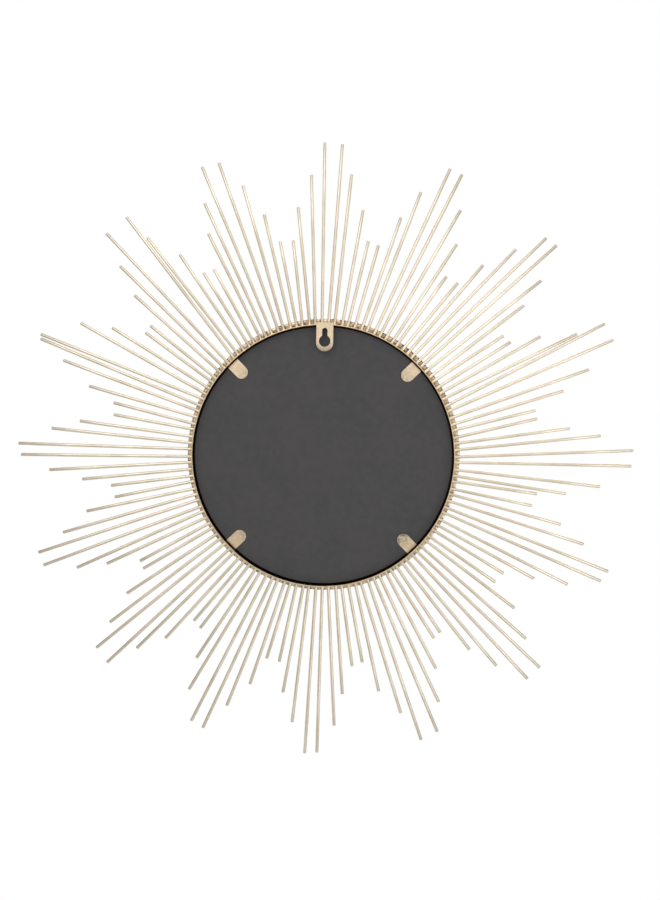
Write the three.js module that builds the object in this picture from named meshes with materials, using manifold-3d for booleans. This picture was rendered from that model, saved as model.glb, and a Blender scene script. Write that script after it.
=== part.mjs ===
import * as THREE from 'three';
import { mergeVertices } from 'three/addons/utils/BufferGeometryUtils.js';
import Module from 'manifold-3d';

// A round wall mirror in a sunburst of welded rods, hung by a keyhole plate on its back.
// Millimetres, +Z up. The wall is the plane y = 0 and the glass faces -Y.
// The origin is on the back of the keyhole plate, between its slot and its top edge.
// Angles round the mirror are in degrees, clockwise from the top as seen from the front.

// The ring: a deep hoop, with a lip inside its front edge and a low moulding outside it
const hoopInner = 150.9;
const hoopOuter = 152.1;
const hoopBack = -1.5;
const ringFront = -17.5;
const lipInner = 146.1;
const lipThickness = 1.5;
const mouldingOuter = 158.6;
const mouldingThickness = 1.5;
const mouldingEdge = 0.5;
const mouldingSlope = 1.8;
const roundSides = 96;

// The rods, in points of four lengths that rise to a pair and fall again; the whole pattern is
// turned a little, in degrees, from a point standing upright
const pointCount = 16;
const rodsPerPoint = 8;
const patternTurn = -0.65;
const longestTip = 356.4;
const tipStep = 35.3;
const rodRadius = 2.05;
const rodSides = 6;
const weldDepth = 0.2;

// The hand-set rods wander: slow waves in their angle round the ring, as [turns, degrees, phase],
// a little unevenness from rod to rod, and a few tips knocked sideways, as rod number and degrees
const rootTwist = 0.3;
const rootWaves = [[1, 0.2, 85], [7, 0.2, 105]];
const rootJitter = 0.25;
const tipWaves = [[1, 0.75, 175], [2, 0.75, -65], [4, 0.35, 65], [5, 0.25, 45]];
const tipJitter = 0.35;
const lengthJitter = 1.5;
const knockedRods = new Map([[8, 1], [15, -1.5], [23, 2.5], [93, -1], [94, -2], [103, 1.5], [104, 1.5]]);

// The glass and the board behind it
const paneRadius = 149.1;
const paneThickness = 3;
const paneGap = 0.3;

// The clips that hold the board in, bent over it from the gap inside the hoop; the bent strip is
// made a little too long at its tip, where its round outline cuts it
const clipWidth = 15;
const clipThickness = 0.8;
const clipTip = 127.7;
const clipBendRadius = 0.6;
const clipLegOuter = 150.2;
const clipLegFront = -15.5;
const clipBendSteps = 6;
const clipTipSteps = 10;
const clipOverrun = 1;
const clipCorners = { top_right: 45, bottom_right: 135, bottom_left: 225, top_left: 315 };

// The keyhole plate, welded on the hoop's back edge
const plateWidth = 19.5;
const plateHeight = 32.8;
const plateTop = 153.8;
const holeRadius = 6.4;
const holeBelowTop = 21.1;
const slotWidth = 5.8;
const slotBelowTop = 6.3;
const keyholeSteps = 16;

// Vertices closer together than this are one vertex
const mergeDistance = 1e-4;

const centreZ = slotBelowTop / 2 - plateTop;
const rodCount = pointCount * rodsPerPoint;
const rodPitch = 360 / rodCount;
const mouldingBack = ringFront + mouldingThickness;
const lipBack = ringFront + lipThickness;
const glassFront = lipBack + paneGap;
const boardFront = glassFront + paneThickness + paneGap;
const boardBack = boardFront + paneThickness;

const wasm = await Module();
wasm.setup();

const finishes = {
  frame: { color: 0xe0cfac, roughness: 0.38, metalness: 1 },
  plates: { color: 0xddc3a0, roughness: 0.42, metalness: 1 },
  board: { color: 0x4d4b4d, roughness: 0.6, metalness: 0 },
  glass: { color: 0xe8ecee, roughness: 0.03, metalness: 1 },
};

function toSolid(geometry) {
  const bare = geometry.clone();
  bare.deleteAttribute('normal');
  bare.deleteAttribute('uv');
  const merged = mergeVertices(bare, mergeDistance);
  const vertProperties = Float32Array.from(merged.attributes.position.array);
  const triVerts = Uint32Array.from(merged.index.array);
  return new wasm.Manifold(new wasm.Mesh({ numProp: 3, vertProperties, triVerts }));
}

function toGeometry(solid) {
  const { vertProperties, triVerts, numProp } = solid.getMesh();
  const geometry = new THREE.BufferGeometry();
  geometry.setAttribute('position', new THREE.BufferAttribute(vertProperties, numProp));
  geometry.setIndex(new THREE.BufferAttribute(triVerts, 1));
  geometry.computeVertexNormals();
  return geometry;
}

function addPiece(parent, name, geometry, finish) {
  const mesh = new THREE.Mesh(geometry, new THREE.MeshStandardMaterial(finishes[finish]));
  mesh.name = name;
  parent.add(mesh);
  return mesh;
}

function around(radius, degrees) {
  const angle = THREE.MathUtils.degToRad(degrees);
  return new THREE.Vector3(radius * Math.sin(angle), 0, radius * Math.cos(angle));
}

function wander(waves, degrees) {
  return waves.reduce(
    (sum, [turns, size, phase]) => sum + size * Math.sin(THREE.MathUtils.degToRad(turns * degrees + phase)),
    0,
  );
}

// Four rod lengths: the longest pair stands on a point's axis, the shortest pair between two points
function tipRadius(rod) {
  const place = rod % rodsPerPoint;
  const level = Math.min(place, rodsPerPoint - 1 - place);
  return longestTip - level * tipStep + lengthJitter * Math.sin(3.3 * rod);
}

function rodEnds(rod) {
  const nominal = (rod + 0.5) * rodPitch + patternTurn;
  const rootDrift = rootTwist + wander(rootWaves, nominal) + rootJitter * Math.sin(2.4 * rod);
  const tipDrift = wander(tipWaves, nominal) + tipJitter * Math.sin(3.7 * rod) + (knockedRods.get(rod) ?? 0);
  const root = around((hoopInner + hoopOuter) / 2, nominal + rootDrift);
  const tip = around(tipRadius(rod), nominal + tipDrift);
  return { root, tip };
}

// A rod lies on the moulding's back, with one of its flats towards it, and butts against the hoop
function rodSolid(rod) {
  const { root, tip } = rodEnds(rod);
  const flatDistance = rodRadius * Math.cos(Math.PI / rodSides);
  const along = tip.clone().sub(root);
  const geometry = new THREE.CylinderGeometry(rodRadius, rodRadius, along.length(), rodSides);
  const toWall = new THREE.Vector3(0, 1, 0);
  const middle = root.clone().add(tip).multiplyScalar(0.5);
  middle.y = mouldingBack + flatDistance - weldDepth;
  along.normalize();
  const sideways = new THREE.Vector3().crossVectors(toWall, along);
  geometry.applyMatrix4(new THREE.Matrix4().makeBasis(toWall, along, sideways).setPosition(middle));
  return toSolid(geometry);
}

function ringSolid() {
  const profile = [
    [lipInner, ringFront],
    [mouldingOuter, ringFront],
    [mouldingOuter, ringFront + mouldingEdge],
    [mouldingOuter - mouldingSlope, mouldingBack],
    [hoopOuter, mouldingBack],
    [hoopOuter, hoopBack],
    [hoopInner, hoopBack],
    [hoopInner, lipBack],
    [lipInner, lipBack],
    [lipInner, ringFront],
  ];
  const points = profile.map(([radius, y]) => new THREE.Vector2(radius, y));
  return toSolid(new THREE.LatheGeometry(points, roundSides));
}

function sunburstGeometry() {
  let solid = ringSolid();
  for (let rod = 0; rod < rodCount; rod += 1) {
    solid = solid.add(rodSolid(rod));
  }
  return toGeometry(solid);
}

function paneGeometry(front) {
  const geometry = new THREE.CylinderGeometry(paneRadius, paneRadius, paneThickness, roundSides);
  return geometry.translate(0, front + paneThickness / 2, 0);
}

// The bent strip seen from its edge: a leg in the gap, a bend, and a foot over the board
function clipProfile() {
  const footFront = boardBack + paneGap;
  const legInner = clipLegOuter - clipThickness;
  const bendRadial = legInner - clipBendRadius;
  const bendDepth = footFront - clipBendRadius;
  const outerRadius = clipBendRadius + clipThickness;
  const shape = new THREE.Shape();
  shape.moveTo(legInner, clipLegFront);
  shape.lineTo(clipLegOuter, clipLegFront);
  shape.absarc(bendRadial, bendDepth, outerRadius, 0, Math.PI / 2, false);
  shape.lineTo(clipTip - clipOverrun, footFront + clipThickness);
  shape.lineTo(clipTip - clipOverrun, footFront);
  shape.absarc(bendRadial, bendDepth, clipBendRadius, Math.PI / 2, 0, true);
  shape.closePath();
  return shape;
}

function clipGeometry() {
  const strip = { depth: clipWidth, bevelEnabled: false, curveSegments: clipBendSteps };
  const bent = new THREE.ExtrudeGeometry(clipProfile(), strip);
  bent.translate(0, 0, -clipWidth / 2);
  bent.rotateY(-Math.PI / 2);

  const half = clipWidth / 2;
  const tongue = new THREE.Shape();
  tongue.moveTo(half, hoopOuter);
  tongue.lineTo(-half, hoopOuter);
  tongue.absarc(0, clipTip + half, half, Math.PI, 2 * Math.PI, false);
  tongue.closePath();
  const stamp = { depth: -ringFront, bevelEnabled: false, curveSegments: clipTipSteps };
  const outline = new THREE.ExtrudeGeometry(tongue, stamp);
  outline.rotateX(Math.PI / 2);
  return toGeometry(toSolid(bent).intersect(toSolid(outline)));
}

function plateGeometry() {
  const half = plateWidth / 2;
  const outline = new THREE.Shape();
  outline.moveTo(half, plateTop);
  outline.lineTo(-half, plateTop);
  outline.absarc(0, plateTop - plateHeight + half, half, Math.PI, 2 * Math.PI, false);
  outline.closePath();

  const holeZ = plateTop - holeBelowTop;
  const slotHalf = slotWidth / 2;
  const neck = Math.asin(slotHalf / holeRadius);
  const keyhole = new THREE.Path();
  keyhole.absarc(0, plateTop - slotBelowTop - slotHalf, slotHalf, 0, Math.PI, false);
  keyhole.absarc(0, holeZ, holeRadius, Math.PI / 2 + neck, Math.PI / 2 - neck + 2 * Math.PI, false);
  keyhole.closePath();
  outline.holes.push(keyhole);

  const stamp = { depth: -hoopBack, bevelEnabled: false, curveSegments: keyholeSteps };
  return new THREE.ExtrudeGeometry(outline, stamp).rotateX(Math.PI / 2);
}

const group = new THREE.Group();
const mirror = new THREE.Group();
mirror.position.z = centreZ;
group.add(mirror);

addPiece(mirror, 'sunburst_frame', sunburstGeometry(), 'frame');
addPiece(mirror, 'mirror_glass', paneGeometry(glassFront), 'glass');
addPiece(mirror, 'backing_board', paneGeometry(boardFront), 'board');
addPiece(mirror, 'keyhole_hanger', plateGeometry(), 'plates');

const clip = clipGeometry();
for (const [corner, degrees] of Object.entries(clipCorners)) {
  const piece = addPiece(mirror, `clip_${corner}`, clip, 'plates');
  piece.rotation.y = THREE.MathUtils.degToRad(degrees);
}

export default group;
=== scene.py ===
import math
from functools import partial

import bmesh
import bpy
from mathutils import Matrix, Vector, noise


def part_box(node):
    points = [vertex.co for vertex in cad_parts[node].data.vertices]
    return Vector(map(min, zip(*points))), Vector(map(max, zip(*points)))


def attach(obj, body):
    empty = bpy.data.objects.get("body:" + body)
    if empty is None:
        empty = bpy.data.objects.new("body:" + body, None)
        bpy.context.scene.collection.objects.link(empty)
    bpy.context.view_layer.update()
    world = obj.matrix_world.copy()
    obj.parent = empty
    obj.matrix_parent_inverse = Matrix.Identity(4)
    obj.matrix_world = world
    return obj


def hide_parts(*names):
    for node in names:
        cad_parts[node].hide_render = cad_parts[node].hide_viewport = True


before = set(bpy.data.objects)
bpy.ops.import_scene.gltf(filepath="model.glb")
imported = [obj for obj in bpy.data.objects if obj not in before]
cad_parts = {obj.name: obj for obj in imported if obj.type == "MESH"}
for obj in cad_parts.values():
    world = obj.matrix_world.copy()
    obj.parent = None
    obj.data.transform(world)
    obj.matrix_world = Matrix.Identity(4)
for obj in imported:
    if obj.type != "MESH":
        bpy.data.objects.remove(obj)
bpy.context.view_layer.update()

mm = 0.001

# where the CAD pieces are, and the mirror's middle
glassLow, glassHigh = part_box("mirror_glass")
boardLow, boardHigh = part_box("backing_board")
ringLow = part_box("sunburst_frame")[0]
plateLow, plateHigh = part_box("keyhole_hanger")
centre = (glassLow + glassHigh) / 2
glassRadius = (glassHigh.x - glassLow.x) / 2


def aroundRing(radius, degrees, depth):
    # degrees run clockwise from the top, seen from the front
    turn = math.radians(degrees)
    return Vector((centre.x + radius * math.sin(turn), depth, centre.z + radius * math.cos(turn)))


def finishPiece(name, mesh, material, nodes, smooth=35):
    data = bpy.data.meshes.new(name)
    mesh.to_mesh(data)
    mesh.free()
    data.materials.append(material)
    data.shade_smooth()
    data.set_sharp_from_angle(angle=math.radians(smooth))
    piece = bpy.data.objects.new(name, data)
    bpy.context.scene.collection.objects.link(piece)
    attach(piece, "root")
    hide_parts(*nodes)


# camera, floor and light
view = {
    "azimuth": 181.9,
    "elevation": 5.1,
    "distance": 1.1636,
    "roll": 1.03,
    "lens": 40,
    "sensor": 36,
    "nearest": 0.05,
    "shiftX": 0.0078,
    "shiftY": 0.0068,
}


def makeCamera():
    turn, lift = math.radians(view["azimuth"]), math.radians(view["elevation"])
    back = Vector((math.sin(turn) * math.cos(lift), -math.cos(turn) * math.cos(lift), math.sin(lift)))
    data = bpy.data.cameras.new("camera")
    data.lens = view["lens"]
    data.sensor_width = view["sensor"]
    data.shift_x = view["shiftX"]
    data.shift_y = view["shiftY"]
    data.clip_start = view["nearest"]
    camera = bpy.data.objects.new("camera", data)
    bpy.context.scene.collection.objects.link(camera)
    aim = (-back).to_track_quat("-Z", "Y").to_matrix().to_4x4()
    aim = aim @ Matrix.Rotation(math.radians(view["roll"]), 4, "Z")
    camera.matrix_world = Matrix.Translation(centre + back * view["distance"]) @ aim
    bpy.context.scene.camera = camera


studio = {
    "floorDrop": 1.45,           # from the mirror's middle to the floor
    "floorHalf": 8,
    "floorTone": (0.74, 0.74, 0.73),
    "floorRoughness": 0.9,
    "backdrop": 1.0,
    "glow": 0.57,                # the soft surroundings at the mirror's edge-on sides,
    "glowLean": (-0.06, 0.03, 0.35),  # the way they brighten,
    "glowFacing": 0.36,          # and what they gain in front of the mirror and behind it
    # each softbox's place from the mirror's middle, its width and height, and its power
    "softboxes": {
        "keySoftbox": ((0.7, 1.8, 1.3), (2.2, 1.6), 14),
        "fillSoftbox": ((-1.6, 1.5, -0.5), (1.2, 1.8), 10),
        "frontSoftbox": ((-0.7, -1.8, 1.3), (2.6, 2.0), 15),
    },
}


# the camera sees a plain white backdrop; everything else sees surroundings that brighten upwards
def makeWorld():
    world = bpy.data.worlds.new("studio")
    bpy.context.scene.world = world
    world.use_nodes = True
    tree = world.node_tree
    tree.nodes.clear()
    out = tree.nodes.new("ShaderNodeOutputWorld")
    blend = tree.nodes.new("ShaderNodeMixShader")
    rays = tree.nodes.new("ShaderNodeLightPath")
    soft = tree.nodes.new("ShaderNodeBackground")
    white = tree.nodes.new("ShaderNodeBackground")
    white.inputs["Color"].default_value = (1, 1, 1, 1)
    white.inputs["Strength"].default_value = studio["backdrop"]
    place = tree.nodes.new("ShaderNodeTexCoord")
    lean = tree.nodes.new("ShaderNodeVectorMath")
    lean.operation = "DOT_PRODUCT"
    lean.inputs[1].default_value = studio["glowLean"]
    leant = tree.nodes.new("ShaderNodeMath")
    leant.inputs[1].default_value = studio["glow"]
    split = tree.nodes.new("ShaderNodeSeparateXYZ")
    facing = tree.nodes.new("ShaderNodeMath")
    facing.operation = "ABSOLUTE"
    glow = tree.nodes.new("ShaderNodeMath")
    glow.operation = "MULTIPLY_ADD"
    glow.inputs[1].default_value = studio["glowFacing"]
    tree.links.new(place.outputs["Generated"], lean.inputs[0])
    tree.links.new(place.outputs["Generated"], split.inputs[0])
    tree.links.new(lean.outputs["Value"], leant.inputs[0])
    tree.links.new(split.outputs["Y"], facing.inputs[0])
    tree.links.new(facing.outputs[0], glow.inputs[0])
    tree.links.new(leant.outputs[0], glow.inputs[2])
    tree.links.new(glow.outputs[0], soft.inputs["Strength"])
    tree.links.new(rays.outputs["Is Camera Ray"], blend.inputs[0])
    tree.links.new(soft.outputs[0], blend.inputs[1])
    tree.links.new(white.outputs[0], blend.inputs[2])
    tree.links.new(blend.outputs[0], out.inputs["Surface"])


def addSoftbox(name, place, size, power):
    data = bpy.data.lights.new(name, "AREA")
    data.shape = "RECTANGLE"
    data.size, data.size_y = size
    data.energy = power
    lamp = bpy.data.objects.new(name, data)
    bpy.context.scene.collection.objects.link(lamp)
    aim = (centre - place).to_track_quat("-Z", "Y").to_matrix().to_4x4()
    lamp.matrix_world = Matrix.Translation(place) @ aim


def makeStudio():
    makeWorld()
    for name, (place, size, power) in studio["softboxes"].items():
        addSoftbox(name, centre + Vector(place), size, power)
    floor = bmesh.new()
    bmesh.ops.create_grid(floor, x_segments=2, y_segments=2, size=studio["floorHalf"])
    bmesh.ops.translate(floor, verts=floor.verts, vec=centre - Vector((0, 0, studio["floorDrop"])))
    data = bpy.data.meshes.new("floor")
    floor.to_mesh(data)
    floor.free()
    ground = bpy.data.objects.new("floor", data)
    bpy.context.scene.collection.objects.link(ground)
    data.materials.append(makeFloorMaterial())


# the floor meets the backdrop without a line: what the camera sees of it is as white
def makeFloorMaterial():
    material, tree, shader = newMaterial("paleFloor")
    shader.inputs["Base Color"].default_value = (*studio["floorTone"], 1)
    shader.inputs["Roughness"].default_value = studio["floorRoughness"]
    rays = tree.nodes.new("ShaderNodeLightPath")
    white = tree.nodes.new("ShaderNodeEmission")
    white.inputs["Strength"].default_value = studio["backdrop"]
    blend = tree.nodes.new("ShaderNodeMixShader")
    tree.links.new(rays.outputs["Is Camera Ray"], blend.inputs[0])
    tree.links.new(shader.outputs[0], blend.inputs[1])
    tree.links.new(white.outputs[0], blend.inputs[2])
    tree.links.new(blend.outputs[0], tree.nodes["Material Output"].inputs["Surface"])
    return material


# shader node groups
def newMaterial(name):
    material = bpy.data.materials.new(name)
    material.use_nodes = True
    tree = material.node_tree
    return material, tree, tree.nodes["Principled BSDF"]


def newGroup(name, inputs, outputs):
    group = bpy.data.node_groups.new(name, "ShaderNodeTree")
    for label, kind, value in inputs:
        socket = group.interface.new_socket(label, in_out="INPUT", socket_type=kind)
        if value is not None:
            socket.default_value = value
    for label, kind in outputs:
        group.interface.new_socket(label, in_out="OUTPUT", socket_type=kind)
    start = group.nodes.new("NodeGroupInput")
    end = group.nodes.new("NodeGroupOutput")
    return group, start, end


def placeGroup(tree, group, **values):
    node = tree.nodes.new("ShaderNodeGroup")
    node.node_tree = group
    for label, value in values.items():
        node.inputs[label].default_value = value
    return node


# one tone laid over another where the mask is 1; a tone is a colour or another node's output
def layTone(tree, under, over, mask):
    node = tree.nodes.new("ShaderNodeMix")
    node.data_type = "RGBA"
    tree.links.new(mask, node.inputs[0])
    for socket, tone in ((node.inputs[6], under), (node.inputs[7], over)):
        if isinstance(tone, bpy.types.NodeSocket):
            tree.links.new(tone, socket)
        else:
            socket.default_value = (*tone, 1)
    return node.outputs[2]


def addNoise(tree, scale, detail=3, roughness=0.55):
    node = tree.nodes.new("ShaderNodeTexNoise")
    node.inputs["Scale"].default_value = scale
    node.inputs["Detail"].default_value = detail
    node.inputs["Roughness"].default_value = roughness
    return node


def addRange(tree, fromMin, fromMax, toMin=0.0, toMax=1.0):
    node = tree.nodes.new("ShaderNodeMapRange")
    for label, value in zip(("From Min", "From Max", "To Min", "To Max"), (fromMin, fromMax, toMin, toMax)):
        node.inputs[label].default_value = value
    return node


# cloudy patches, as a 0 to 1 mask
def makeMottle():
    group, start, end = newGroup(
        "mottle",
        [("Vector", "NodeSocketVector", None), ("Scale", "NodeSocketFloat", 200.0),
         ("Low", "NodeSocketFloat", 0.35), ("High", "NodeSocketFloat", 0.65)],
        [("Mask", "NodeSocketFloat")],
    )
    cloud = addNoise(group, 200, 4, 0.6)
    spread = addRange(group, 0.35, 0.65)
    group.links.new(start.outputs["Vector"], cloud.inputs["Vector"])
    group.links.new(start.outputs["Scale"], cloud.inputs["Scale"])
    group.links.new(cloud.outputs[0], spread.inputs["Value"])
    group.links.new(start.outputs["Low"], spread.inputs["From Min"])
    group.links.new(start.outputs["High"], spread.inputs["From Max"])
    group.links.new(spread.outputs[0], end.inputs["Mask"])
    return group


# fine drawn lines along one direction of the given vector
def makeGrain():
    group, start, end = newGroup(
        "drawnGrain",
        [("Vector", "NodeSocketVector", None), ("Stretch", "NodeSocketVector", (1.0, 1.0, 0.06)),
         ("Scale", "NodeSocketFloat", 1500.0)],
        [("Lines", "NodeSocketFloat")],
    )
    squeeze = group.nodes.new("ShaderNodeVectorMath")
    squeeze.operation = "MULTIPLY"
    lines = addNoise(group, 1500, 2, 0.5)
    group.links.new(start.outputs["Vector"], squeeze.inputs[0])
    group.links.new(start.outputs["Stretch"], squeeze.inputs[1])
    group.links.new(squeeze.outputs[0], lines.inputs["Vector"])
    group.links.new(start.outputs["Scale"], lines.inputs["Scale"])
    group.links.new(lines.outputs[0], end.inputs["Lines"])
    return group


# materials
goldLook = {
    "rods": {"pale": (0.86, 0.77, 0.63), "deep": (0.70, 0.61, 0.47),
             "cloud": 25, "grain": 900, "stretch": (1, 1, 0.05), "bump": 0.03, "roughness": 0.38},
    # the ring's dark tone is painted shade and painted reflection, laid under the ring's shade mask
    "ring": {"pale": (0.84, 0.68, 0.48), "deep": (0.62, 0.47, 0.30), "dark": (0.040, 0.020, 0.010),
             "cloud": 260, "grain": 900, "stretch": (1, 0.3, 1), "bump": 0.1, "roughness": 0.34},
    "plates": {"pale": (0.90, 0.72, 0.50), "deep": (0.76, 0.59, 0.41), "dark": (0.28, 0.24, 0.19),
               "cloud": 420, "grain": 1100, "stretch": (1, 1, 0.1), "bump": 0.2, "roughness": 0.42},
    "cloudLow": 0.36,
    "cloudHigh": 0.66,
    "smoother": 0.04,            # how far the grain takes the roughness down,
    "rougher": 0.06,             # and up
    "bumpDepth": 0.15 * mm,
}


# satin lacquer on steel: cloudy pale and deep tones, fine drawn lines, and a dark tone under a mask
def makeGold(name, look, groups, coordinate, mask=None):
    material, tree, shader = newMaterial(name)
    mottle, grain = groups
    cloud = placeGroup(tree, mottle, Scale=look["cloud"], Low=goldLook["cloudLow"],
                       High=goldLook["cloudHigh"])
    lines = placeGroup(tree, grain, Stretch=look["stretch"], Scale=look["grain"])
    for node in (cloud, lines):
        tree.links.new(coordinate(tree), node.inputs["Vector"])
    tone = layTone(tree, look["pale"], look["deep"], cloud.outputs["Mask"])
    if mask:
        tone = layTone(tree, tone, look["dark"], mask(tree))
    tree.links.new(tone, shader.inputs["Base Color"])
    shader.inputs["Metallic"].default_value = 1.0
    smoothest, roughest = look["roughness"] - goldLook["smoother"], look["roughness"] + goldLook["rougher"]
    gloss = addRange(tree, 0.25, 0.75, smoothest, roughest)
    tree.links.new(lines.outputs["Lines"], gloss.inputs["Value"])
    tree.links.new(gloss.outputs[0], shader.inputs["Roughness"])
    bump = tree.nodes.new("ShaderNodeBump")
    bump.inputs["Strength"].default_value = look["bump"]
    bump.inputs["Distance"].default_value = goldLook["bumpDepth"]
    tree.links.new(lines.outputs["Lines"], bump.inputs["Height"])
    tree.links.new(bump.outputs[0], shader.inputs["Normal"])
    return material


def objectPlace(tree):
    return tree.nodes.new("ShaderNodeTexCoord").outputs["Object"]


def readAttribute(tree, name, output):
    node = tree.nodes.new("ShaderNodeAttribute")
    node.attribute_name = name
    return node.outputs[output]


def rodPlace(tree):
    return readAttribute(tree, "rodPlace", "Vector")


def combine(tree, operation, first, second):
    node = tree.nodes.new("ShaderNodeMath")
    node.operation = operation
    node.use_clamp = True
    tree.links.new(first, node.inputs[0])
    tree.links.new(second, node.inputs[1])
    return node.outputs[0]


# how the ring's painted shade and the clips' and hanger's darkening are broken up: the patches' scale, and
# what is left of them at the faintest
patchLook = {
    "ring": (320, 0.15),
    "clip": (330, 0.3),
    "hanger": (500, 0.65),
    "patchLow": 0.42,
    "patchHigh": 0.56,
    "hangerAtHole": 0.1,         # how dark the hanger is made at its hole,
    "hangerAtEnd": 0.95,         # and at its round end
}


def addPatches(tree, piece):
    scale, clean = patchLook[piece]
    patches = addNoise(tree, scale, 3, 0.6)
    tree.links.new(objectPlace(tree), patches.inputs["Vector"])
    uneven = addRange(tree, patchLook["patchLow"], patchLook["patchHigh"], clean, 1.0)
    tree.links.new(patches.outputs[0], uneven.inputs["Value"])
    return uneven.outputs[0]


# painted shade in the ring's corners, on the hoop's inner wall and round the top, broken up by patches
def ringPaintedShade(tree):
    return combine(tree, "MULTIPLY", readAttribute(tree, "paintedShade", "Fac"), addPatches(tree, "ring"))


# darker edges, and tips that get darker towards the end, away from the bend
def clipDarkening(tree, amount):
    middle = tree.nodes.new("ShaderNodeMapping")
    middle.inputs["Location"].default_value = (-centre.x, 0, -centre.z)
    middle.inputs["Scale"].default_value = (1, 0, 1)
    tree.links.new(objectPlace(tree), middle.inputs["Vector"])
    length = tree.nodes.new("ShaderNodeVectorMath")
    length.operation = "LENGTH"
    tree.links.new(middle.outputs[0], length.inputs[0])
    fade = addRange(tree, clipMake["tip"] + clipMake["darkLength"], clipMake["tip"], 0.0, amount)
    tree.links.new(length.outputs["Value"], fade.inputs["Value"])
    darkened = combine(tree, "MULTIPLY", fade.outputs[0], addPatches(tree, "clip"))
    return combine(tree, "MAXIMUM", darkened, readAttribute(tree, "rim", "Fac"))


# darker edges, and darker towards the round end below the hole
def hangerDarkening(tree):
    place = tree.nodes.new("ShaderNodeSeparateXYZ")
    tree.links.new(objectPlace(tree), place.inputs[0])
    hole = plateHigh.z - hangerMake["holeBelowTop"]
    fade = addRange(tree, hole, plateLow.z + hangerMake["edge"],
                    patchLook["hangerAtHole"], patchLook["hangerAtEnd"])
    tree.links.new(place.outputs["Z"], fade.inputs["Value"])
    darkened = combine(tree, "MULTIPLY", fade.outputs[0], addPatches(tree, "hanger"))
    return combine(tree, "MAXIMUM", darkened, readAttribute(tree, "rim", "Fac"))


boardLook = {
    "grey": (0.045, 0.043, 0.046),
    "cool": (0.035, 0.037, 0.042),
    "warm": (0.056, 0.048, 0.043),
    "coolPatches": 16.0,
    "warmPatches": 110.0,
    "warmMost": 0.6,
    "fibres": 1800,
    "bump": 0.3,
    "bumpDepth": 0.2 * mm,
    "roughness": 0.6,
}


def makeBoardMaterial(mottle):
    material, tree, shader = newMaterial("charcoalBoard")
    wide = placeGroup(tree, mottle, Scale=boardLook["coolPatches"], Low=0.36, High=0.64)
    fine = placeGroup(tree, mottle, Scale=boardLook["warmPatches"], Low=0.38, High=0.62)
    for node in (wide, fine):
        tree.links.new(objectPlace(tree), node.inputs["Vector"])
    faint = addRange(tree, 0, 1, 0, boardLook["warmMost"])
    tree.links.new(fine.outputs["Mask"], faint.inputs["Value"])
    tone = layTone(tree, boardLook["grey"], boardLook["cool"], wide.outputs["Mask"])
    tone = layTone(tree, tone, boardLook["warm"], faint.outputs[0])
    tree.links.new(tone, shader.inputs["Base Color"])
    shader.inputs["Roughness"].default_value = boardLook["roughness"]
    fibres = addNoise(tree, boardLook["fibres"], 3, 0.7)
    tree.links.new(objectPlace(tree), fibres.inputs["Vector"])
    bump = tree.nodes.new("ShaderNodeBump")
    bump.inputs["Strength"].default_value = boardLook["bump"]
    bump.inputs["Distance"].default_value = boardLook["bumpDepth"]
    tree.links.new(fibres.outputs[0], bump.inputs["Height"])
    tree.links.new(bump.outputs[0], shader.inputs["Normal"])
    return material


mirrorLook = {
    "tint": (0.90, 0.93, 0.925),
    "smears": 14.0,
    "clean": 0.012,              # roughness
    "smeared": 0.035,
}


def makeMirrorMaterial(mottle):
    material, tree, shader = newMaterial("silveredGlass")
    shader.inputs["Base Color"].default_value = (*mirrorLook["tint"], 1)
    shader.inputs["Metallic"].default_value = 1.0
    smear = placeGroup(tree, mottle, Scale=mirrorLook["smears"], Low=0.3, High=0.8)
    tree.links.new(objectPlace(tree), smear.inputs["Vector"])
    gloss = addRange(tree, 0, 1, mirrorLook["clean"], mirrorLook["smeared"])
    tree.links.new(smear.outputs["Mask"], gloss.inputs["Value"])
    tree.links.new(gloss.outputs[0], shader.inputs["Roughness"])
    return material


# shared steps: cutting and rounding a mesh, and drawing an outline from its last vertex
def cutAcross(mesh, height):
    bmesh.ops.bisect_plane(mesh, geom=mesh.verts[:] + mesh.edges[:] + mesh.faces[:], dist=1e-7,
                           plane_co=(0, 0, height), plane_no=(0, 0, 1))


def roundOff(mesh, geom, size, segments, affect="EDGES"):
    bmesh.ops.bevel(mesh, geom=geom, offset=size, offset_type="OFFSET", segments=segments,
                    profile=0.5, affect=affect, material=-1, clamp_overlap=True)


# a flat face in the XZ plane made as thick as it should be, with its front at the given depth
def thicken(flat, depth, thickness, rounding):
    bmesh.ops.solidify(flat, geom=flat.faces[:], thickness=thickness)
    lowest = min(vert.co.y for vert in flat.verts)
    bmesh.ops.translate(flat, verts=flat.verts, vec=(0, depth - lowest, 0))
    bmesh.ops.recalc_face_normals(flat, faces=flat.faces)
    roundOff(flat, [side for side in flat.edges if side.calc_face_angle(0) > 1], rounding, 2)


def addCopy(whole, part):
    data = bpy.data.meshes.new("part")
    part.to_mesh(data)
    part.free()
    whole.from_mesh(data)
    bpy.data.meshes.remove(data)


def drawLine(flat, last, place):
    end = bmesh.ops.extrude_vert_indiv(flat, verts=[last])["verts"][0]
    end.co = Vector(place)
    return end


def drawArc(flat, last, middle, degrees, steps, axis=(0, 1, 0)):
    turned = bmesh.ops.spin(flat, geom=[last], cent=middle, axis=axis, angle=math.radians(degrees),
                            steps=steps, use_duplicate=False)
    return [item for item in turned["geom_last"] if isinstance(item, bmesh.types.BMVert)][0]


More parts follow.
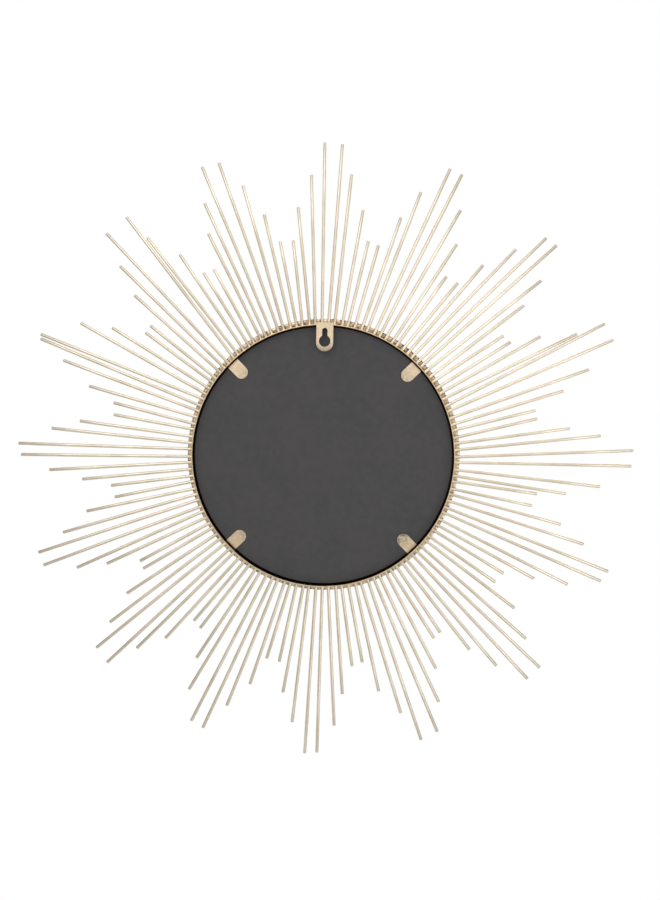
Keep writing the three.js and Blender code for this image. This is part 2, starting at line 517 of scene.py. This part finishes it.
# the ring: hoop, lip and half-round moulding in one turned section
ringMake = {
    "gap": 1.8 * mm,             # between the glass and the hoop
    "wall": 1.2 * mm,
    "lipIn": 4.8 * mm,           # how far the lip reaches in from the hoop's inner wall
    "lip": 1.5 * mm,
    "mouldingOut": 6.5 * mm,     # how far the moulding stands outside the hoop
    "mouldingEdge": 0.5 * mm,
    "mouldingRise": 1.0 * mm,    # of its half-round back, above that edge
    "rounding": 0.25 * mm,
    "mouldingSteps": 12,
    "wallSteps": 8,              # along each of the hoop's walls
    "steps": 1024,
}
hoopInner = glassRadius + ringMake["gap"]
hoopOuter = hoopInner + ringMake["wall"]
ringFront = ringLow.y
hoopBack = plateLow.y
mouldingBack = ringFront + ringMake["mouldingEdge"] + ringMake["mouldingRise"]


def drawRingSection(ring):
    edge = ringFront + ringMake["mouldingEdge"]
    lipInner, lipBack = hoopInner - ringMake["lipIn"], ringFront + ringMake["lip"]
    mouldingOuter = hoopOuter + ringMake["mouldingOut"]
    half = ringMake["mouldingOut"] / 2
    middle = aroundRing(hoopOuter + half, 0, edge)
    first = ring.verts.new(aroundRing(lipInner, 0, ringFront))
    corners = [first, drawLine(ring, first, aroundRing(mouldingOuter, 0, ringFront))]
    last = drawLine(ring, corners[-1], aroundRing(mouldingOuter, 0, edge))
    last = drawArc(ring, last, middle, -180, ringMake["mouldingSteps"], axis=(1, 0, 0))
    for vert in ring.verts:
        if vert.co.y > edge:
            vert.co.y = edge + (vert.co.y - edge) * ringMake["mouldingRise"] / half
    for step in range(1, ringMake["wallSteps"]):
        depth = edge + (hoopBack - edge) * step / ringMake["wallSteps"]
        last = drawLine(ring, last, aroundRing(hoopOuter, 0, depth))
    for radius in (hoopOuter, hoopInner):
        last = drawLine(ring, last, aroundRing(radius, 0, hoopBack))
        corners.append(last)
    for step in range(1, ringMake["wallSteps"]):
        depth = hoopBack + (lipBack - hoopBack) * step / ringMake["wallSteps"]
        last = drawLine(ring, last, aroundRing(hoopInner, 0, depth))
    for radius in (hoopInner, lipInner):
        last = drawLine(ring, last, aroundRing(radius, 0, lipBack))
        corners.append(last)
    ring.edges.new((last, first))
    bmesh.ops.contextual_create(ring, geom=ring.edges[:])
    roundOff(ring, corners, ringMake["rounding"], 3, affect="VERTICES")
    bmesh.ops.delete(ring, geom=ring.faces[:], context="FACES_ONLY")


def makeRing(material):
    ring = bmesh.new()
    drawRingSection(ring)
    bmesh.ops.spin(ring, geom=ring.verts[:] + ring.edges[:], cent=(centre.x, 0, centre.z), axis=(0, 1, 0),
                   angle=2 * math.pi, steps=ringMake["steps"], use_merge=True)
    bmesh.ops.remove_doubles(ring, verts=ring.verts, dist=0.002 * mm)
    bmesh.ops.recalc_face_normals(ring, faces=ring.faces)
    markPaintedShade(ring)
    finishPiece("ring", ring, material, ["sunburst_frame"])


# painted shade and painted reflection, as a vertex attribute: dark on the hoop's inner wall for the dark
# board reflected there and the shadow in the gap, a little all round outside the hoop, and darker in the
# corner outside it and in the corners beside each rod
shadeMake = {
    "wall": 5.0,                 # above 1 so that the patches leave no gaps in it
    "wallReach": 8 * mm,         # from the hoop's back edge to where the wall is darkest
    "all": 0.12,                 # everywhere outside the hoop
    "top": 0.35,                 # more painted shade round the top
    "corner": 1.5,
    "cornerReach": 2.0 * mm,
    "rodDepth": 2.8,
    "rodReach": 1.7 * mm,        # sideways from a rod's flank
    "edgeReach": 2.4 * mm,       # in from the moulding's outer edge
    "crest": 0.2,                # how much of it crosses the moulding's crest
    "rodLeast": 0.1,             # the faintest painted shade beside a rod; the darkest is 1
    "frontEdge": 0.45 * mm,      # none of it nearer the front than this
}


# painted shade in the corners beside a rod, stronger on some sides than on others
def besideRod(radius, degrees, rod, rootAngle):
    away = (degrees - rootAngle + 180) % 360 - 180
    flank = max(abs(math.radians(away)) * radius - rodMake["radius"], 0)
    shadeStrength = abs(math.sin(rodMake["shadeSwing"] * rod + (away > 0)))
    shadeStrength = shadeMake["rodLeast"] + (1 - shadeMake["rodLeast"]) * shadeStrength
    return shadeMake["rodDepth"] * shadeStrength * (1 - flank / shadeMake["rodReach"])


# the painted shade at one point of the ring
def ringShade(place, depth, rootAngles):
    radius = math.hypot(place.x, place.z)
    if depth < ringFront + shadeMake["frontEdge"] or depth > hoopBack - ringMake["rounding"]:
        return 0
    if radius < hoopOuter - ringMake["wall"] / 2:
        return shadeMake["wall"] * max(0, (hoopBack - depth) / shadeMake["wallReach"])
    degrees = math.degrees(math.atan2(place.x, place.z)) % 360
    near = int(degrees / 360 * rodCount)
    rods = (near - 1, near, near + 1)
    beside = max(besideRod(radius, degrees, rod, rootAngles[rod % rodCount]) for rod in rods)
    rise = max(0, depth - mouldingBack)
    low = max(0, 1 - rise / shadeMake["cornerReach"])
    corner = 1 - math.hypot(radius - hoopOuter, rise) / shadeMake["cornerReach"]
    edge = low * (1 - (hoopOuter + ringMake["mouldingOut"] - radius) / shadeMake["edgeReach"])
    shade = low * (shadeMake["all"] + shadeMake["top"] * max(0, place.z / radius))
    return shade + max(shadeMake["corner"] * corner, beside * max(corner, edge, low * shadeMake["crest"]), 0)


def markPaintedShade(ring):
    paintedShade = ring.verts.layers.float.new("paintedShade")
    rootAngles = [rodDrift(rod)[0] for rod in range(rodCount)]
    for vert in ring.verts:
        vert[paintedShade] = ringShade(vert.co - centre, vert.co.y, rootAngles)


# the rods
rodMake = {
    "points": 16,
    "rodsPerPoint": 8,
    "turn": -0.65,           # degrees, of the whole pattern
    "radius": 1.85 * mm,
    "sides": 12,
    "spans": 3,
    "longestTip": 356.4 * mm,
    "tipStep": 35.3 * mm,
    "lengthJitter": 1.5 * mm,
    "rootTwist": 0.3,        # degrees, and the two below
    "rootJitter": 0.25,
    "tipJitter": 0.35,
    "sunk": 0.3 * mm,        # into the moulding, at the weld
    "cutEdge": 0.25 * mm,
    "bow": 0.7 * mm,
    # slow waves in the rods' angle round the ring, as (turns, degrees, phase)
    "rootWaves": [(1, 0.2, 85), (7, 0.2, 105)],
    "tipWaves": [(1, 0.75, 175), (2, 0.75, -65), (4, 0.35, 65), (5, 0.25, 45)],
    # tips knocked sideways, as rod number and degrees
    "knocked": {8: 1, 15: -1.5, 23: 2.5, 93: -1, 94: -2, 103: 1.5, 104: 1.5},
    # how fast each thing swings from one rod to the next, in radians of a sine
    "rootSwing": 2.4,
    "tipSwing": 3.7,
    "lengthSwing": 3.3,
    "bowSwing": 5.3,
    "shadeSwing": 2.9,
    "weldSwing": 4.1,
    "patternStep": 0.37,     # moves the lacquer's clouds from rod to rod
}
rodCount = rodMake["points"] * rodMake["rodsPerPoint"]
rodDepth = mouldingBack + rodMake["radius"] - rodMake["sunk"]


def wander(waves, degrees):
    return sum(size * math.sin(math.radians(turns * degrees + phase)) for turns, size, phase in waves)


# the angles of a rod's root and tip
def rodDrift(rod):
    nominal = (rod + 0.5) * 360 / rodCount + rodMake["turn"]
    rootDrift = rodMake["rootTwist"] + wander(rodMake["rootWaves"], nominal)
    rootDrift += rodMake["rootJitter"] * math.sin(rodMake["rootSwing"] * rod)
    tipDrift = wander(rodMake["tipWaves"], nominal) + rodMake["knocked"].get(rod, 0)
    tipDrift += rodMake["tipJitter"] * math.sin(rodMake["tipSwing"] * rod)
    return nominal + rootDrift, nominal + tipDrift


def rodEnds(rod):
    place = rod % rodMake["rodsPerPoint"]
    level = min(place, rodMake["rodsPerPoint"] - 1 - place)
    reach = rodMake["longestTip"] - level * rodMake["tipStep"]
    reach += rodMake["lengthJitter"] * math.sin(rodMake["lengthSwing"] * rod)
    rootAngle, tipAngle = rodDrift(rod)
    root = aroundRing((hoopInner + hoopOuter) / 2, rootAngle, rodDepth)
    return root, aroundRing(reach, tipAngle, rodDepth)


def addRod(rods, rod):
    root, tip = rodEnds(rod)
    length = (tip - root).length
    turned = (tip - root).to_track_quat("Z", "Y").to_matrix().to_4x4()
    one = bmesh.new()
    bmesh.ops.create_cone(one, cap_ends=True, segments=rodMake["sides"], radius1=rodMake["radius"],
                          radius2=rodMake["radius"], depth=length)
    bmesh.ops.translate(one, verts=one.verts, vec=(0, 0, length / 2))
    for cut in range(1, rodMake["spans"]):
        cutAcross(one, length * cut / rodMake["spans"])
    rim = [edge for edge in one.edges if all(vert.co.z > length - 1e-6 for vert in edge.verts)]
    roundOff(one, rim, rodMake["cutEdge"], 1)
    bend = rodMake["bow"] * math.sin(rodMake["bowSwing"] * rod + 1)
    place = one.verts.layers.float_vector.new("rodPlace")
    for vert in one.verts:
        vert[place] = (vert.co.x + rodMake["patternStep"] * rod, vert.co.y, vert.co.z)
        vert.co.x += bend * math.sin(math.pi * max(0, min(1, vert.co.z / length)))
    bmesh.ops.transform(one, matrix=Matrix.Translation(root) @ turned, verts=one.verts)
    addCopy(rods, one)


def makeRods(material):
    rods = bmesh.new()
    rods.verts.layers.float_vector.new("rodPlace")
    for rod in range(rodCount):
        addRod(rods, rod)
    finishPiece("rods", rods, material, ["sunburst_frame"], smooth=50)


# welds: a flared fillet round each rod where it meets the hoop
weldMake = {
    "flare": 0.9 * mm,           # wider than the rod, at the hoop
    "reach": 2.6 * mm,           # along the rod
    "flatter": 0.7,              # of the flare, towards the wall
    "sunk": 0.1 * mm,            # into the hoop
    "bigger": 0.3,               # the largest weld, over the middle size
    "lumps": 0.22 * mm,
    "lumpScale": 420,
    "sides": 10,
    "rings": 3,
}


def makeWelds(material):
    welds = bmesh.new()
    welds.verts.layers.float.new("paintedShade")
    for rod in range(rodCount):
        root, tip = rodEnds(rod)
        size = 1 + weldMake["bigger"] * math.sin(rodMake["weldSwing"] * rod)
        reach = weldMake["reach"] * size
        start = root + (tip - root).normalized() * (ringMake["wall"] / 2 - weldMake["sunk"])
        turned = (tip - root).to_track_quat("Z", "Y").to_matrix().to_4x4()
        one = bmesh.new()
        bmesh.ops.create_cone(one, cap_ends=True, segments=weldMake["sides"], radius1=1, radius2=1,
                              depth=reach)
        bmesh.ops.translate(one, verts=one.verts, vec=(0, 0, reach / 2))
        for cut in range(1, weldMake["rings"]):
            cutAcross(one, reach * cut / weldMake["rings"])
        for vert in one.verts:
            flare = weldMake["flare"] * size * (1 - vert.co.z / reach) ** 2
            vert.co.x *= rodMake["radius"] + flare
            vert.co.y *= rodMake["radius"] + flare * weldMake["flatter"]
        bmesh.ops.transform(one, matrix=Matrix.Translation(start) @ turned, verts=one.verts)
        addCopy(welds, one)
    for vert in welds.verts:
        vert.co += noise.noise_vector(vert.co * weldMake["lumpScale"]) * weldMake["lumps"]
    finishPiece("welds", welds, material, ["sunburst_frame"], smooth=80)


# glass and board
paneMake = {"sides": 192, "glassEdge": 0.5 * mm, "boardEdge": 0.2 * mm}


def makePane(name, low, high, rounding, material, node):
    pane = bmesh.new()
    bmesh.ops.create_circle(pane, cap_ends=True, segments=paneMake["sides"], radius=glassRadius)
    bmesh.ops.rotate(pane, verts=pane.verts, cent=(0, 0, 0), matrix=Matrix.Rotation(math.pi / 2, 3, "X"))
    bmesh.ops.translate(pane, verts=pane.verts, vec=(centre.x, low.y, centre.z))
    thicken(pane, low.y, high.y - low.y, rounding)
    finishPiece(name, pane, material, [node], smooth=20)


# stamped plates: an outline in the XZ plane, filled, thickened and rounded, with darker edges
plateMake = {"joinWithin": 0.01 * mm, "edgeDark": 0.9}


def stampPlate(flat, depth, thickness, rounding):
    bmesh.ops.remove_doubles(flat, verts=flat.verts, dist=plateMake["joinWithin"])
    bmesh.ops.triangle_fill(flat, edges=flat.edges[:], use_beauty=True, use_dissolve=False, normal=(0, 1, 0))
    thicken(flat, depth, thickness, rounding)
    rim = flat.verts.layers.float.new("rim")
    for vert in flat.verts:
        onBack = vert.co.y > depth + thickness - plateMake["joinWithin"]
        vert[rim] = 0 if onBack else plateMake["edgeDark"]


hangerMake = {
    "hole": 6.4 * mm,            # radius
    "holeBelowTop": 21.1 * mm,
    "slot": 2.9 * mm,            # half width
    "slotBelowTop": 6.3 * mm,
    "edge": 0.3 * mm,
    "endSteps": 28,
    "slotSteps": 16,
    "holeSteps": 36,
}


def makeHanger(material):
    half = (plateHigh.x - plateLow.x) / 2
    top, bottom = plateHigh.z, plateLow.z
    plate = bmesh.new()
    first = plate.verts.new((half, 0, top))
    last = drawLine(plate, first, (-half, 0, top))
    last = drawLine(plate, last, (-half, 0, bottom + half))
    last = drawArc(plate, last, (0, 0, bottom + half), -180, hangerMake["endSteps"])
    drawLine(plate, last, (half, 0, top))
    holeZ, slotZ = top - hangerMake["holeBelowTop"], top - hangerMake["slotBelowTop"] - hangerMake["slot"]
    neck = math.degrees(math.asin(hangerMake["slot"] / hangerMake["hole"]))
    start = plate.verts.new((hangerMake["slot"], 0, slotZ))
    last = drawArc(plate, start, (0, 0, slotZ), -180, hangerMake["slotSteps"])
    drop = hangerMake["hole"] * math.cos(math.radians(neck))
    last = drawLine(plate, last, (-hangerMake["slot"], 0, holeZ + drop))
    last = drawArc(plate, last, (0, 0, holeZ), -(360 - 2 * neck), hangerMake["holeSteps"])
    drawLine(plate, last, (hangerMake["slot"], 0, slotZ))
    stampPlate(plate, plateLow.y, plateHigh.y - plateLow.y, hangerMake["edge"])
    finishPiece("keyholePlate", plate, material, ["keyhole_hanger"], smooth=20)


clipMake = {
    "width": 15 * mm,
    "thickness": 0.8 * mm,
    "tip": 127.7 * mm,           # from the mirror's middle
    "lift": 0.3 * mm,            # of the foot above the board
    "bend": 0.6 * mm,            # inner radius
    "legOut": 150.2 * mm,        # outer face of the leg
    "legFront": -15.5 * mm,
    "edge": 0.3 * mm,
    "bendSteps": 6,
    "tipSteps": 20,
    "darkLength": 18 * mm,       # from the tip
    # each clip's place in degrees, and how dark its tip is made; the bottom left clip's larger amount is a
    # painted reflection of darker surroundings
    "places": {
        "top_right": (45, 0.5),
        "bottom_right": (135, 0.7),
        "bottom_left": (225, 1.2),
        "top_left": (315, 0.5),
    },
}


def makeClip(name, node, degrees, material):
    half, thick = clipMake["width"] / 2, clipMake["thickness"]
    footFront = boardHigh.y + clipMake["lift"]
    bendRadial = clipMake["legOut"] - thick - clipMake["bend"]
    bendDepth = footFront - clipMake["bend"]
    middle = clipMake["bend"] + thick / 2
    arc = middle * math.pi / 2
    end = bendRadial + arc + bendDepth - clipMake["legFront"]
    strip = bmesh.new()
    first = strip.verts.new((half, 0, end))
    last = drawLine(strip, first, (-half, 0, end))
    last = drawLine(strip, last, (-half, 0, clipMake["tip"] + half))
    last = drawArc(strip, last, (0, 0, clipMake["tip"] + half), -180, clipMake["tipSteps"])
    drawLine(strip, last, (half, 0, end))
    stampPlate(strip, footFront, thick, clipMake["edge"])
    for cut in range(clipMake["bendSteps"] + 1):
        cutAcross(strip, bendRadial + arc * cut / clipMake["bendSteps"])
    for vert in strip.verts:
        past, out = vert.co.z - bendRadial, vert.co.y - bendDepth
        if past > arc:
            vert.co.z, vert.co.y = bendRadial + out, bendDepth - (past - arc)
        elif past > 0:
            turn = past / middle
            vert.co.z, vert.co.y = bendRadial + out * math.sin(turn), bendDepth + out * math.cos(turn)
    spin = Matrix.Rotation(math.radians(degrees), 4, "Y")
    bmesh.ops.transform(strip, matrix=Matrix.Translation((centre.x, 0, centre.z)) @ spin, verts=strip.verts)
    finishPiece(name, strip, material, [node], smooth=20)


# build
makeCamera()
makeStudio()
print("studio ready")

groups = makeMottle(), makeGrain()
rodGold = makeGold("champagneRod", goldLook["rods"], groups, rodPlace)
ringGold = makeGold("champagneRing", goldLook["ring"], groups, objectPlace, ringPaintedShade)
plateGold = makeGold("plateMetal", goldLook["plates"], groups, objectPlace, hangerDarkening)
charcoal = makeBoardMaterial(groups[0])
silver = makeMirrorMaterial(groups[0])
print("materials ready")

makeRing(ringGold)
makeRods(rodGold)
makeWelds(ringGold)
print("sunburst ready")

makePane("mirrorGlass", glassLow, glassHigh, paneMake["glassEdge"], silver, "mirror_glass")
makePane("backingBoard", boardLow, boardHigh, paneMake["boardEdge"], charcoal, "backing_board")
makeHanger(plateGold)
for corner, (degrees, darkened) in clipMake["places"].items():
    name = "clip_" + corner.replace("_", "")
    tipDarkening = partial(clipDarkening, amount=darkened)
    clipGold = makeGold(name + "Metal", goldLook["plates"], groups, objectPlace, tipDarkening)
    makeClip(name, "clip_" + corner, degrees, clipGold)
print("glass, board, hanger and clips ready")

bpy.context.scene.view_settings.view_transform = "Standard"
